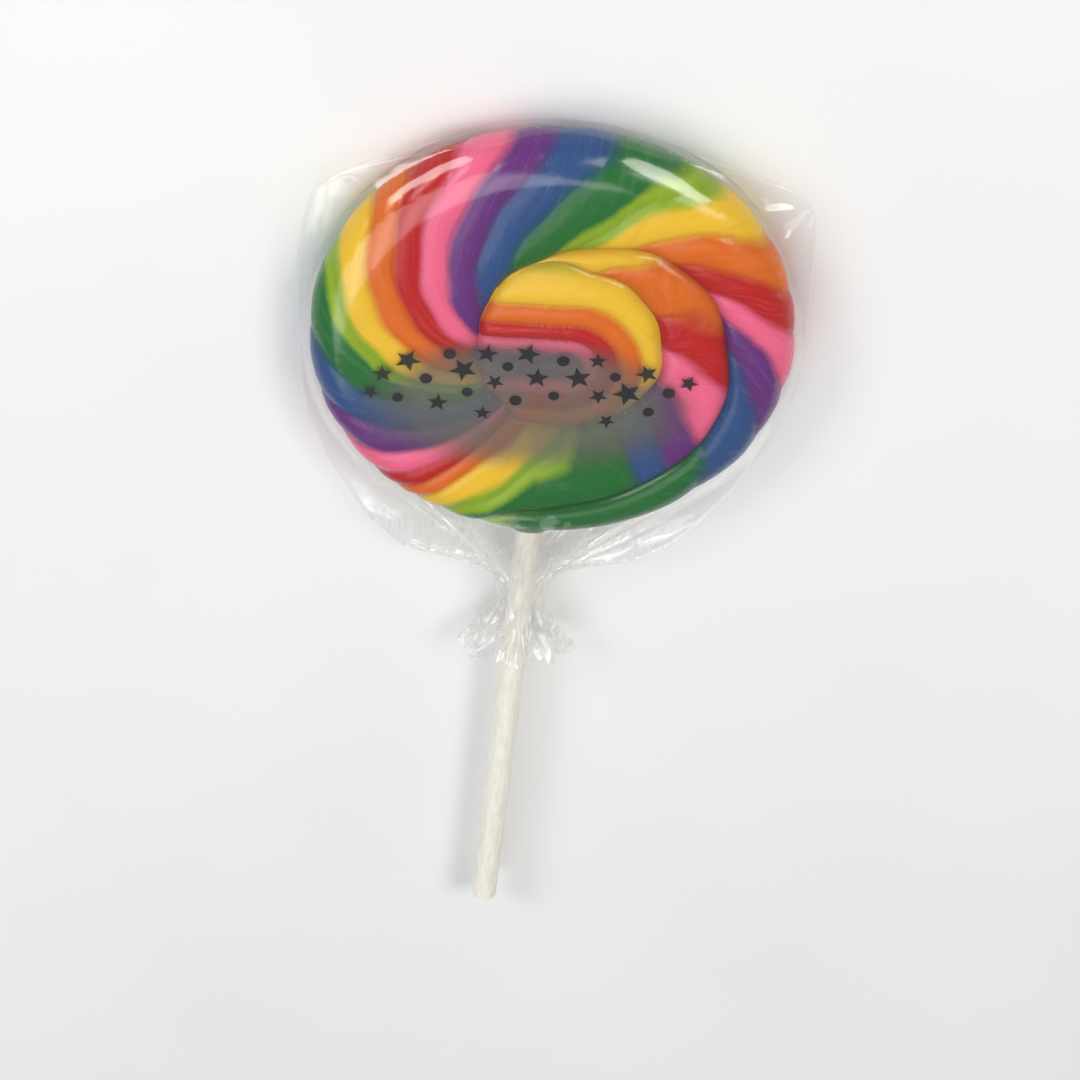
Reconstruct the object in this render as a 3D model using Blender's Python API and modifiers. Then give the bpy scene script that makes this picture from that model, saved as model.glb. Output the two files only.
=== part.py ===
"""A swirl lollipop lying on its back: a flat coiled boiled sweet on a stick, in a clear film wrapper.

The origin is on the flat back of the sweet, at its centre. +Z points out of the shown face,
+Y towards the top of the sweet, and the stick runs along -Y.
"""

import math

import bpy
import numpy as np

MM = 0.001
TAU = 2 * math.pi

# The sweet: a twisted rope of sugar, coiled and pressed into a disc with a round edge
CANDY_RADIUS = 35 * MM
CANDY_THICKNESS = 10 * MM
EDGE_REACH = 6 * MM
COLUMNS = 132
FACE_RINGS = 22
EDGE_RINGS = 11
MIDDLE = CANDY_THICKNESS / 2
FACE_RADIUS = CANDY_RADIUS - EDGE_REACH

# The coil of the rope. Places along it are in degrees turned anticlockwise from its outer end.
ROPE_END = math.radians(-110)
ROPE_TURNED = 600.0
THIN_END = 14.0
TAIL = 60.0
COLUMN_TWIST = math.radians(50)
TWIST_SHARE = 0.55
RULE_BLUR = 8

# The rope's inner edge, as shares of the disc's radius: a thin end on the rim, a turn that widens
# towards the upper left, then a turn inside it that thins out above the core
EDGE_PLACES = (
    (0, 1.0), (14, 0.86), (30, 0.81), (80, 0.775), (110, 0.725), (140, 0.70), (170, 0.61), (200, 0.50),
    (230, 0.41), (260, 0.345), (290, 0.305), (330, 0.32), (360, 0.36), (410, 0.40), (440, 0.43),
    (470, 0.455), (500, 0.45), (540, 0.43), (600, 0.43),
)

# Stripes passed along the rope's outer edge and its inner edge, seven to a cycle of colours
OUTER_STRIPES = (
    (0, 0.6), (8, 0.8), (52, 1.2), (72, 2), (86, 3), (100, 4), (121, 5), (134, 6), (155, 7), (181, 8),
    (193, 9), (204, 10), (216, 11), (230, 12), (244, 13), (258, 14), (279, 15), (294, 16), (309, 17),
    (323, 18), (340, 19.2), (347, 20.4), (353, 21.4), (360, 22.0), (405, 22.3), (416, 23), (425, 24),
    (437, 25), (462, 26), (500, 27), (530, 27.7), (560, 28.3), (600, 28.6),
)
INNER_STRIPES = (
    (0, 0.6), (8, 0.8), (41, 1), (71, 1.5), (91, 2), (117, 3), (131, 4), (146, 5), (163, 6), (181, 7),
    (214, 8), (238, 9), (259, 10), (280, 11), (305, 12.6), (326, 14.8), (341, 16.6), (348, 18),
    (356, 19.6), (372, 20.8), (400, 21.6), (420, 22.6), (440, 24), (470, 25.6), (500, 26.6),
    (545, 27.5), (600, 28.4),
)
STRIPES = 7
WIDE_YELLOW = 0.25

# The core is the rope's inner end, bent back on itself round an eye. Its stripes lie at shares of
# the disc's radius from the fold.
EYE_X = 0.06
EYE_Y = -0.06
CORE_PLACES = (0.0, 0.07, 0.15, 0.25, 0.37, 0.5)
CORE_STRIPES = (3.3, 3.0, 2.0, 1.0, 0.0, -0.3)
CORE_REACH = 0.42

# Relief of the pressed rope, which fades out over the lower part of the round edge
STRIPE_DEPTH = 0.5 * MM
VALLEY_SHARPNESS = 0.7
SEAM_DEPTH = 0.75 * MM
SEAM_HALF_WIDTH = 1.2 * MM
FOLD_DEPTH = 0.45 * MM
FOLD_HALF_WIDTH = 1.2 * MM
TURN_CROWN = 0.4 * MM
NARROW_TURN = 3 * MM
FLAT_BELOW = 0.1 * CANDY_THICKNESS
FLAT_FADE = 0.3 * CANDY_THICKNESS

# The stick, as a rolled white tube of the common five inch length
STICK_RADIUS = 2 * MM
STICK_LENGTH = 127 * MM
STICK_TOP = 12 * MM
STICK_END_ROUND = 0.4 * MM
GAP = 0.3 * MM

# The film: folded over the top, drawn to a neck under the disc, with a short flared end
FILM = 0.5 * MM
WEB = 0.35 * MM
WINDOW_RADIUS = 31.5 * MM
WINDOW_LAP = 1.5 * MM
LOWEST_FILM = 0.25 * MM
PINCH = 1.6 * MM
CREASE_REACH = 0.2 * CANDY_RADIUS
CREASE_HEIGHT = 0.9 * MM
CREASE_DROOP = 0.8 * MM
FILM_RAYS = 84
FILM_STEPS = 6
NECK_SIDES = 32
NECK_PLEATS = 8
OUTLINE_BLUR = 5

# How far the film's outline reaches, as shares of the disc's radius, by the angle from +X in
# degrees: tight over the top, out to the bag's upper corner, in again beside the disc, then out
# in a straight line to the neck
OUTLINE_RIGHT = (
    (90, 1.025), (66, 1.03), (54, 1.08), (44, 1.17), (37, 1.22), (30, 1.17), (18, 1.09),
    (4, 1.055), (-12, 1.055), (-26, 1.085), (-40, 1.14), (-54, 1.21), (-66, 1.26), (-78, 1.29),
    (-90, 1.32),
)
OUTLINE_LEFT = (
    (90, 1.025), (64, 1.03), (52, 1.07), (41, 1.14), (32, 1.20), (24, 1.15), (10, 1.085),
    (-6, 1.055), (-17, 1.075), (-27, 1.11), (-42, 1.165), (-56, 1.24), (-68, 1.31), (-78, 1.32),
    (-90, 1.32),
)

# The gathered film round the stick: distance below the centre, half width, half height, pleat depth
NECK_RINGS = (
    (30.0, 19.0, 5.1, 0.0),
    (34.0, 14.5, 5.0, 0.1),
    (37.5, 10.6, 4.7, 0.25),
    (41.0, 7.2, 4.3, 0.35),
    (44.0, 4.9, 3.9, 0.4),
    (46.5, 3.9, 3.6, 0.4),
    (50.0, 3.7, 3.5, 0.4),
    (52.5, 4.2, 3.7, 0.45),
    (55.0, 5.4, 3.9, 0.6),
    (57.5, 6.8, 4.1, 0.8),
    (59.5, 7.8, 4.3, 0.9),
)
SKIRT_WALL = 0.9
SKIRT_HOLLOW_RINGS = 3
HOLLOW_UP, HOLLOW_IN, HOLLOW_DOWN = 0.6, 0.9, 0.25

COLOURS = (
    ("Yellow candy", (0.85, 0.55, 0.07)),
    ("Orange candy", (0.78, 0.20, 0.02)),
    ("Red candy", (0.60, 0.02, 0.03)),
    ("Pink candy", (0.80, 0.13, 0.27)),
    ("Violet candy", (0.15, 0.05, 0.24)),
    ("Blue candy", (0.05, 0.13, 0.33)),
    ("Green candy", (0.03, 0.24, 0.07)),
)


def clear_scene():
    for obj in list(bpy.data.objects):
        bpy.data.objects.remove(obj, do_unlink=True)


def new_collection(name):
    collection = bpy.data.collections.new(name)
    bpy.context.scene.collection.children.link(collection)
    return collection


def principled(name, colour, roughness, alpha=1.0):
    material = bpy.data.materials.new(name)
    material.use_nodes = True
    shader = material.node_tree.nodes["Principled BSDF"]
    shader.inputs["Base Color"].default_value = (*colour, 1.0)
    shader.inputs["Roughness"].default_value = roughness
    shader.inputs["Metallic"].default_value = 0.0
    shader.inputs["Alpha"].default_value = alpha
    return material


def move_to(obj, collection):
    for old in list(obj.users_collection):
        old.objects.unlink(obj)
    collection.objects.link(obj)


def mesh_object(name, points, faces, collection):
    mesh = bpy.data.meshes.new(name)
    mesh.from_pydata([tuple(point) for point in points], [], faces)
    mesh.validate()
    obj = bpy.data.objects.new(name, mesh)
    collection.objects.link(obj)
    return obj


def make_cutter(obj, collection):
    move_to(obj, collection)
    obj.hide_render = True
    obj.display_type = "WIRE"
    return obj


def add_boolean(obj, name, operation, other):
    modifier = obj.modifiers.new(name, "BOOLEAN")
    modifier.operation = operation
    modifier.solver = "EXACT"
    modifier.object = other


def smooth_step(share):
    share = np.clip(share, 0.0, 1.0)
    return share * share * (3.0 - 2.0 * share)


def along_rope(places, degrees):
    """A value along the rope, read between the named places and blurred over a few degrees."""
    fine = np.arange(-60.0, ROPE_TURNED + 121.0)
    line = np.interp(fine, *np.array(places, dtype=float).T)
    window = np.hanning(2 * RULE_BLUR + 3)
    padded = np.pad(line, RULE_BLUR + 1, mode="edge")
    return np.interp(degrees, fine, np.convolve(padded, window / window.sum(), mode="valid"))


def inner_share(degrees):
    """The rope's inner edge, as a share of the radius. At its end it closes on the turn outside it."""
    share = 1.0 - (1.0 - along_rope(EDGE_PLACES, degrees)) * smooth_step(degrees / THIN_END)
    before = along_rope(EDGE_PLACES, degrees - 360.0)
    closing = smooth_step((degrees - ROPE_TURNED) / TAIL + 1.0)
    return share * (1.0 - closing) + before * closing


def turns_at(angle):
    """How far the rope has turned in its first turn at an angle, and the inner edges of both turns."""
    degrees = np.degrees(np.mod(angle - ROPE_END, TAU))
    first = inner_share(degrees)
    second = np.where(degrees + 360.0 < ROPE_TURNED, inner_share(degrees + 360.0), first)
    return degrees, first, second


def rope_stripe(degrees, across, side):
    """The stripe's number on the rope. On the back the same twist runs on past the rim."""
    outer = along_rope(OUTER_STRIPES, degrees)
    inner = along_rope(INNER_STRIPES, degrees)
    return -outer + side * (outer - inner) * (1.0 - across)


def from_fold(share, angle):
    """Distance from the core's fold, a line from its eye to the left, as a share of the radius."""
    east = np.maximum(share * np.cos(angle) - EYE_X, 0.0)
    return np.hypot(east, share * np.sin(angle) - EYE_Y)


def stripe_number(share, angle, side):
    """The stripe's number, counted from yellow: whole in the middle of a stripe, on either side."""
    degrees, first, second = turns_at(angle)
    on_first = share >= first
    degrees = np.where(on_first, degrees, degrees + 360.0)
    low = np.where(on_first, first, second)
    high = np.where(on_first, 1.0, first)
    across = np.clip((share - low) / np.maximum(high - low, 1e-6), 0.0, 1.0)
    in_core = np.interp(from_fold(share, angle), CORE_PLACES, CORE_STRIPES)
    number = np.where(share < second, in_core, rope_stripe(degrees, across, side))
    return number + WIDE_YELLOW * (1.0 - np.cos(TAU * number / STRIPES))


def turn_fall(share, angle):
    """How far each turn's crown has fallen: 0 along its middle, 1 at its seams, 0 at the rim."""
    _, first, second = turns_at(angle)
    across_first = np.clip((share - first) / np.maximum(1.0 - first, 1e-6), 0.0, 1.0)
    across_second = np.clip((share - second) / np.maximum(first - second, 1e-6), 0.0, 1.0)
    narrow = 1.0 - smooth_step((first - second) * CANDY_RADIUS / NARROW_TURN)
    across_core = np.clip(from_fold(share, angle) / CORE_REACH, 0.0, 1.0)
    on_first = np.where(across_first > 0.5, 0.0, (2.0 * across_first - 1.0) ** 4)
    on_second = np.maximum((2.0 * across_second - 1.0) ** 4, narrow)
    in_core = (2.0 * across_core - 1.0) ** 4
    return np.where(share >= first, on_first, np.where(share >= second, on_second, in_core))


def groove(away, half_width):
    """1 in the middle of a groove, falling to 0 beside it."""
    return np.exp(-((away * CANDY_RADIUS / half_width) ** 2))


def relief(radius, angle, side):
    """How deep the pressed rope's surface lies under the plain disc."""
    share = radius / CANDY_RADIUS
    degrees, first, second = turns_at(angle)
    valley = 1.0 - np.abs(np.cos(math.pi * stripe_number(share, angle, side))) ** VALLEY_SHARPNESS
    seam = groove(share - first, SEAM_HALF_WIDTH) * smooth_step(degrees / THIN_END)
    seam = np.maximum(seam, groove(share - second, SEAM_HALF_WIDTH))
    fold = groove(from_fold(share, angle), FOLD_HALF_WIDTH) * (share < second)
    turns = STRIPE_DEPTH * valley + TURN_CROWN * turn_fall(share, angle)
    return turns * (1.0 - seam) + (SEAM_DEPTH + TURN_CROWN) * seam + FOLD_DEPTH * fold * (1.0 - seam)


def edge_height(radius, grow=0.0):
    """Half the thickness of the plain disc at a radius, or of the disc grown outwards."""
    over = np.clip((radius - FACE_RADIUS) / (EDGE_REACH + grow), 0.0, 1.0)
    return (MIDDLE + grow) * np.sqrt(1.0 - over ** 2)


def disc_profile(grow, face_steps, edge_steps, back_steps):
    """The half section of the disc, from the centre of the front, round the edge, to the back."""
    face = np.array(face_steps) * FACE_RADIUS
    turn = np.linspace(0.0, math.pi, edge_steps + 1)[1:-1]
    edge_radius = FACE_RADIUS + (EDGE_REACH + grow) * np.sin(turn)
    edge_z = MIDDLE + (MIDDLE + grow) * np.cos(turn)
    back = np.array(back_steps) * FACE_RADIUS
    radius = np.concatenate([face, edge_radius, back])
    height = np.concatenate([
        np.full(len(face), CANDY_THICKNESS + grow), edge_z, np.full(len(back), -grow),
    ])
    return [(r, 0.0, z) for r, z in zip(radius, height)]


def turned_object(name, profile, steps, collection):
    """A closed shape made by turning a half section round the Z axis."""
    edges = [(i, i + 1) for i in range(len(profile) - 1)]
    mesh = bpy.data.meshes.new(name)
    mesh.from_pydata(profile, edges, [])
    obj = bpy.data.objects.new(name, mesh)
    collection.objects.link(obj)
    screw = obj.modifiers.new("Turn", "SCREW")
    screw.axis = "Z"
    screw.steps = steps
    screw.render_steps = steps
    screw.use_merge_vertices = True
    screw.merge_threshold = 0.00001
    return obj


def apply_modifiers(obj):
    graph = bpy.context.evaluated_depsgraph_get()
    mesh = bpy.data.meshes.new_from_object(obj.evaluated_get(graph))
    obj.modifiers.clear()
    obj.data = mesh


def read_points(mesh):
    points = np.empty(len(mesh.vertices) * 3)
    mesh.vertices.foreach_get("co", points)
    return points.reshape(-1, 3)


def press_swirl(obj):
    """Turns the disc's columns along the stripes and presses the rope's relief into them.

    Each point sinks along the normal of the plain disc, whose edge is half an ellipse.
    """
    points = read_points(obj.data)
    radius = np.hypot(points[:, 0], points[:, 1])
    side = np.where(points[:, 2] >= MIDDLE, 1.0, -1.0)
    inward = np.clip((1.0 - radius / CANDY_RADIUS) / TWIST_SHARE, 0.0, 1.0)
    angle = np.arctan2(points[:, 1], points[:, 0]) + side * inward * COLUMN_TWIST
    rise = points[:, 2] - MIDDLE
    out = np.where(radius > FACE_RADIUS, (radius - FACE_RADIUS) / EDGE_REACH ** 2, 0.0)
    up = rise / MIDDLE ** 2
    length = np.hypot(out, up)
    depth = relief(radius, angle, side) * smooth_step((points[:, 2] - FLAT_BELOW) / FLAT_FADE)
    radius = np.maximum(radius - depth * out / length, 0.0)
    height = points[:, 2] - depth * up / length
    pressed = np.column_stack([radius * np.cos(angle), radius * np.sin(angle), height])
    obj.data.vertices.foreach_set("co", pressed.ravel())
    obj.data.update()


def colour_stripes(obj):
    """One of the seven colours for each face, by the stripe that its centre lies on."""
    for name, colour in COLOURS:
        obj.data.materials.append(principled(name, colour, 0.12))
    centres = np.empty(len(obj.data.polygons) * 3)
    obj.data.polygons.foreach_get("center", centres)
    centres = centres.reshape(-1, 3)
    share = np.hypot(centres[:, 0], centres[:, 1]) / CANDY_RADIUS
    angle = np.arctan2(centres[:, 1], centres[:, 0])
    side = np.where(centres[:, 2] >= MIDDLE, 1.0, -1.0)
    stripe = np.rint(stripe_number(share, angle, side)).astype(int) % STRIPES
    obj.data.polygons.foreach_set("material_index", stripe.astype(np.int32))


def stick_cylinder(name, grow, sides):
    """A rod on the stick's axis, or the same rod grown on all sides."""
    length = STICK_LENGTH + 2 * grow
    middle_y = STICK_TOP - STICK_LENGTH / 2
    bpy.ops.mesh.primitive_cylinder_add(
        vertices=sides, radius=STICK_RADIUS + grow, depth=length,
        location=(0.0, middle_y, MIDDLE), rotation=(math.pi / 2, 0.0, 0.0),
    )
    obj = bpy.context.object
    obj.name = name
    obj.data.name = name
    return obj


def make_candy(collection, stick_space):
    face_steps = np.linspace(0.0, 1.0, FACE_RINGS)
    profile = disc_profile(0.0, face_steps, EDGE_RINGS, (1.0, 0.6, 0.0))
    candy = turned_object("candy", profile, COLUMNS, collection)
    apply_modifiers(candy)
    press_swirl(candy)
    colour_stripes(candy)
    add_boolean(candy, "Stick bore", "DIFFERENCE", stick_space)
    return candy


def make_stick(collection):
    stick = stick_cylinder("stick", 0.0, 24)
    move_to(stick, collection)
    bevel = stick.modifiers.new("Round ends", "BEVEL")
    bevel.width = STICK_END_ROUND
    bevel.segments = 2
    bevel.limit_method = "ANGLE"
    stick.data.materials.append(principled("White paper stick", (0.86, 0.83, 0.74), 0.55))
    return stick


def outline_reach(angle):
    """The film's outline as a distance from the centre, smooth between the named points."""
    degrees = np.degrees(np.mod(angle + math.pi / 2, TAU)) - 90.0
    right = np.array(OUTLINE_RIGHT[::-1])
    left = np.array(OUTLINE_LEFT)
    places = np.concatenate([right[:, 0], 180.0 - left[1:, 0]])
    shares = np.concatenate([right[:, 1], left[1:, 1]])
    fine = np.arange(-90.0, 270.0, 1.0)
    reach = np.interp(fine, places, shares)
    blur = np.hanning(2 * OUTLINE_BLUR + 1)
    padded = np.concatenate([reach[-OUTLINE_BLUR:], reach, reach[:OUTLINE_BLUR]])
    reach = np.convolve(padded, blur / blur.sum(), mode="valid")
    return CANDY_RADIUS * np.interp(degrees, fine, reach, period=360.0)


def film_height(radius):
    """Half the film's outer thickness: tight over the disc's edge, then two sheets lying together."""
    over_edge = edge_height(radius, GAP + FILM)
    pinched = WEB + PINCH * np.exp(-np.maximum(radius - CANDY_RADIUS, 0.0) / PINCH)
    return np.maximum(over_edge, pinched)


def film_wave(radius, angle):
    """Creases that grow away from the rim and run out to the film's edge."""
    away = np.clip((radius - CANDY_RADIUS) / CREASE_REACH, 0.0, 1.3)
    folds = 0.55 * np.sin(13 * angle + 0.6) + 0.45 * np.sin(21 * angle - 1.1)
    return away * (CREASE_HEIGHT * folds - CREASE_DROOP)


def ring_faces(rings, points_each, closed):
    """Quads between neighbouring rings of points, and round to the first ring where it closes."""
    last = rings if closed else rings - 1
    faces = []
    for ring in range(last):
        here = ring * points_each
        there = ((ring + 1) % rings) * points_each
        for k in range(points_each):
            after = (k + 1) % points_each
            faces.append((here + k, there + k, there + after, here + after))
    return faces


def make_film_ring(collection):
    """The film round the disc: a thin closed ring whose section is lofted from ray to ray."""
    angle = np.linspace(0.0, TAU, FILM_RAYS, endpoint=False)[:, None]
    reach = outline_reach(angle)
    share = np.linspace(0.0, 1.0, FILM_STEPS) ** 0.8
    inside = WINDOW_RADIUS - WINDOW_LAP
    radius = inside + (reach - inside) * share
    height = film_height(radius)
    middle = MIDDLE + film_wave(radius, angle)
    front = np.stack([radius * np.cos(angle), radius * np.sin(angle), middle + height], axis=-1)
    back = np.stack([radius * np.cos(angle), radius * np.sin(angle), middle - height], axis=-1)
    points = np.concatenate([front, back[:, ::-1]], axis=1)
    points[..., 2] = np.maximum(points[..., 2], LOWEST_FILM)
    faces = ring_faces(FILM_RAYS, 2 * FILM_STEPS, closed=True)
    return mesh_object("wrapper", points.reshape(-1, 3), faces, collection)


def make_neck(collection):
    """The film gathered round the stick, flared below, with a shallow hollow in its open end."""
    hollow = [
        (below - HOLLOW_UP * step, wide - SKIRT_WALL - HOLLOW_IN * step,
         high - SKIRT_WALL - HOLLOW_DOWN * step, fold)
        for step, (below, wide, high, fold) in enumerate(NECK_RINGS[:-SKIRT_HOLLOW_RINGS - 1:-1])
    ]
    rings = np.array(list(NECK_RINGS) + hollow) * MM
    around = np.linspace(0.0, TAU, NECK_SIDES, endpoint=False)
    below, wide, high, fold = (column[:, None] for column in rings.T)
    gather = 1.0 + fold / high * np.cos(NECK_PLEATS * around)
    x = wide * gather * np.cos(around)
    z = np.maximum(MIDDLE + high * gather * np.sin(around), LOWEST_FILM)
    points = np.stack([x, np.broadcast_to(-below, x.shape), z], axis=-1)
    faces = ring_faces(len(rings), NECK_SIDES, closed=False)
    faces.append(tuple(range(NECK_SIDES)))
    faces.append(tuple(reversed(range((len(rings) - 1) * NECK_SIDES, len(rings) * NECK_SIDES))))
    return mesh_object("Film neck", points.reshape(-1, 3), faces, collection)


def make_wrapper(collection, helpers, stick_space):
    wrapper = make_film_ring(collection)
    neck = make_cutter(make_neck(helpers), helpers)
    profile = disc_profile(GAP, (0.0, 1.0), 10, (1.0, 0.0))
    candy_space = make_cutter(turned_object("Candy space", profile, FILM_RAYS, helpers), helpers)
    bpy.ops.mesh.primitive_cylinder_add(
        vertices=FILM_RAYS, radius=WINDOW_RADIUS, depth=4 * CANDY_THICKNESS,
        location=(0.0, 0.0, MIDDLE),
    )
    window = make_cutter(bpy.context.object, helpers)
    window.name = "Film window"
    add_boolean(wrapper, "Neck", "UNION", neck)
    add_boolean(wrapper, "Round the candy", "DIFFERENCE", candy_space)
    add_boolean(wrapper, "Open faces", "DIFFERENCE", window)
    add_boolean(wrapper, "Round the stick", "DIFFERENCE", stick_space)
    wrapper.data.materials.append(principled("Clear film", (0.93, 0.93, 0.90), 0.08, 0.3))
    return wrapper


def main():
    clear_scene()
    parts = new_collection("Swirl lollipop")
    helpers = new_collection("Cutters")
    stick_space = make_cutter(stick_cylinder("Stick space", GAP, 24), helpers)
    pieces = [
        make_candy(parts, stick_space),
        make_stick(parts),
        make_wrapper(parts, helpers, stick_space),
    ]
    holder = bpy.data.objects.new("Lollipop", None)
    parts.objects.link(holder)
    for piece in pieces:
        piece.parent = holder
        piece.data.shade_smooth()
        piece.data.set_sharp_from_angle(angle=math.radians(40))


main()
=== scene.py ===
"""Looks of a swirl lollipop that lies on its back: a coiled rainbow sweet, a paper stick and clear film.

Lengths are in metres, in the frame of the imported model: the origin is on the flat back of the sweet,
+Z points out of the shown face and the stick runs along -Y. Every piece is a grid of points worked
out as whole arrays, and its place is in its mesh.
"""

import math

import bmesh
import bpy
import numpy as np
from mathutils import Matrix, Vector


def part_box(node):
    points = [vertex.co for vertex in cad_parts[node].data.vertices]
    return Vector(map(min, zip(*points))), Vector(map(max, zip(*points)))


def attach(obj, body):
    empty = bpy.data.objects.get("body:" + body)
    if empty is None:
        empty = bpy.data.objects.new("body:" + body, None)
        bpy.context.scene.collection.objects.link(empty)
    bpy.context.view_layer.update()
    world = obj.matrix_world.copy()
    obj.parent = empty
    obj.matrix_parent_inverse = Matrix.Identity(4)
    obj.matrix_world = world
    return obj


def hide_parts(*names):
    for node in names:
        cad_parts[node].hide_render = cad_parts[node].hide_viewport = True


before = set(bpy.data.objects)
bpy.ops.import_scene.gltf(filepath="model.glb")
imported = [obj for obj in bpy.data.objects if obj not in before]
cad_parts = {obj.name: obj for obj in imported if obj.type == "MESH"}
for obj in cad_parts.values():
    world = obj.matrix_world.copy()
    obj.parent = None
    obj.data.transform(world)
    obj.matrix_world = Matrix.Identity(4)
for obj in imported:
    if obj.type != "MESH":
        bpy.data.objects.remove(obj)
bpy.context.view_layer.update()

MM = 0.001
TAU = 2 * math.pi

# Sizes read from the frame, but for the disc's radius and the reach of its rounded edge, which the
# frame doesn't name
CANDY_LOW, CANDY_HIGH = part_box("candy")
STICK_LOW, STICK_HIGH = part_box("stick")
CANDY_RADIUS = 35 * MM
CANDY_THICKNESS = CANDY_HIGH.z - CANDY_LOW.z
MIDDLE = CANDY_THICKNESS / 2
STICK_RADIUS = (STICK_HIGH.z - STICK_LOW.z) / 2
EDGE_REACH = 6 * MM
FACE_RADIUS = CANDY_RADIUS - EDGE_REACH

# The coil of the rope. Places along it are in degrees turned anticlockwise from its outer end. It
# swells from nothing over the first of them and closes on the turn outside it over the last.
ROPE_END = math.radians(-110)
ROPE_TURNED = 600
END_TURNED = 14.0
TAIL_TURNED = 60.0

# The rope's inner edge, as shares of the disc's radius: its thin end on the rim, then a turn that
# widens towards the upper left, then a turn inside it that thins out above the core
EDGE_PLACES = (
    (0, 1.0), (14, 0.86), (30, 0.81), (80, 0.775), (110, 0.725), (140, 0.70), (170, 0.61), (200, 0.50),
    (230, 0.41), (260, 0.345), (290, 0.305), (330, 0.32), (360, 0.36), (410, 0.40), (440, 0.43),
    (470, 0.455), (500, 0.45), (540, 0.43), (600, 0.43),
)

# Stripes passed along the rope's outer edge and its inner edge, seven to a cycle of colours
OUTER_STRIPES = (
    (0, 0.6), (8, 0.8), (52, 1.2), (72, 2), (86, 3), (100, 4), (121, 5), (134, 6), (155, 7), (181, 8),
    (193, 9), (204, 10), (216, 11), (230, 12), (244, 13), (258, 14), (279, 15), (294, 16), (309, 17),
    (323, 18), (340, 19.2), (347, 20.4), (353, 21.4), (360, 22.0), (405, 22.3), (416, 23), (425, 24),
    (437, 25), (462, 26), (500, 27), (530, 27.7), (560, 28.3), (600, 28.6),
)
INNER_STRIPES = (
    (0, 0.6), (8, 0.8), (41, 1), (71, 1.5), (91, 2), (117, 3), (131, 4), (146, 5), (163, 6), (181, 7),
    (214, 8), (238, 9), (259, 10), (280, 11), (305, 12.6), (326, 14.8), (341, 16.6), (348, 18),
    (356, 19.6), (372, 20.8), (400, 21.6), (420, 22.6), (440, 24), (470, 25.6), (500, 26.6),
    (545, 27.5), (600, 28.4),
)
STRIPES = 7
WIDE_YELLOW = 0.25

# The core is the rope's inner end, bent back on itself round an eye. Its stripes lie at shares of the
# disc's radius from the fold.
EYE_X, EYE_Y = 0.06, -0.06
CORE_PLACES = (0.0, 0.07, 0.15, 0.25, 0.37, 0.5)
CORE_STRIPES = (3.3, 3.0, 2.0, 1.0, 0.0, -0.3)
CORE_REACH = 0.42

# Relief of the pressed rope
STRIPE_DEPTH = 0.5 * MM
SEAM_DEPTH = 0.85 * MM
SEAM_WIDTH = 0.75 * MM
FOLD_DEPTH = 0.55 * MM
FOLD_WIDTH = 0.8 * MM
TURN_CROWN = 0.35 * MM
FULL_CROWN_WIDTH = 3 * MM

# The back is flat: between these shares of the thickness the relief fades to a small share of its depth
FADE_LOW, FADE_HIGH = 0.1, 0.4
BACK_RELIEF = 0.05

# The collar of sugar on the rim where the stick leaves it
COLLAR_RISE = 0.9 * MM
COLLAR_REACH = 1.1 * MM

# Slow and fine unevenness of the sweet's surface, as depth and width, and of the core's stripes, as a
# share of a stripe and width
SWELL, SWELL_WIDTH = 0.20 * MM, 8 * MM
PITTING, PITTING_WIDTH = 0.05 * MM, 2.6 * MM
CORE_WAVER, CORE_WAVER_WIDTH = 0.12, 7 * MM

# How finely the sweet is drawn: columns to a turn, and rows on the shown side and on the back
COLUMNS = 360
ROPE_ROWS = {1.0: 64, -1.0: 30}
CORE_ROWS = {1.0: 40, -1.0: 16}

# The film's outline, as shares of the disc's radius by the angle from +X in degrees
OUTLINE_RIGHT = (
    (90, 1.022), (66, 1.03), (54, 1.08), (44, 1.17), (37, 1.215), (30, 1.17), (18, 1.09),
    (4, 1.055), (-12, 1.055), (-26, 1.085), (-40, 1.14), (-54, 1.21), (-66, 1.26), (-76, 1.28),
)
OUTLINE_LEFT = (
    (90, 1.022), (64, 1.03), (52, 1.07), (41, 1.14), (32, 1.195), (24, 1.15), (10, 1.085),
    (-6, 1.055), (-17, 1.075), (-27, 1.11), (-42, 1.165), (-56, 1.24), (-68, 1.31), (-77, 1.315),
)

# The gathered film: distance below the centre, half width, half height and pleat depth, in mm
NECK_RINGS = (
    (26.0, 24.0, 5.2, 0.0),
    (30.0, 19.0, 5.1, 0.0),
    (34.0, 14.5, 5.0, 0.1),
    (37.5, 10.6, 4.7, 0.25),
    (41.0, 7.2, 4.3, 0.35),
    (44.0, 4.9, 3.9, 0.4),
    (46.5, 3.6, 3.4, 0.35),
    (50.0, 3.4, 3.2, 0.35),
    (52.5, 3.9, 3.5, 0.45),
    (55.0, 5.2, 3.8, 0.6),
    (57.5, 6.6, 4.0, 0.8),
    (59.7, 7.8, 4.2, 0.95),
)

# The gap under film that lies tight, and how finely the film is drawn
FILM_GAP = 0.22 * MM
FILM_COLUMNS = 340
DISC_ROWS = 150
NECK_ROWS = 104

# Places along the film: the last row beside the disc, where the funnel starts, where its sheets are
# gathered to a ring, the middle of its twist, the point its rays run to, and where it flares
BREAK_Y = -30 * MM
FUNNEL_Y = -26 * MM
GATHER_Y = -41 * MM
TWIST_Y = -46 * MM
NECK_Y = -47 * MM
FLARE_Y = -54 * MM

# Half the gap between the film's two sheets: out beside the disc, how much more at the disc, how far
# that reaches, and how near the outline it closes
HALF_GAP = 0.10 * MM
MORE_AT_DISC = 2.2 * MM
GAP_REACH = 2.2 * MM
EDGE_CLOSING = 0.8 * MM

# Depth of the creases in slack film: rays to the neck, fans from the corners and a crush
NECK_RAY = 0.9 * MM
CORNER_FAN = 1.1 * MM
LOOSE_CRUSH = 0.30 * MM

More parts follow.
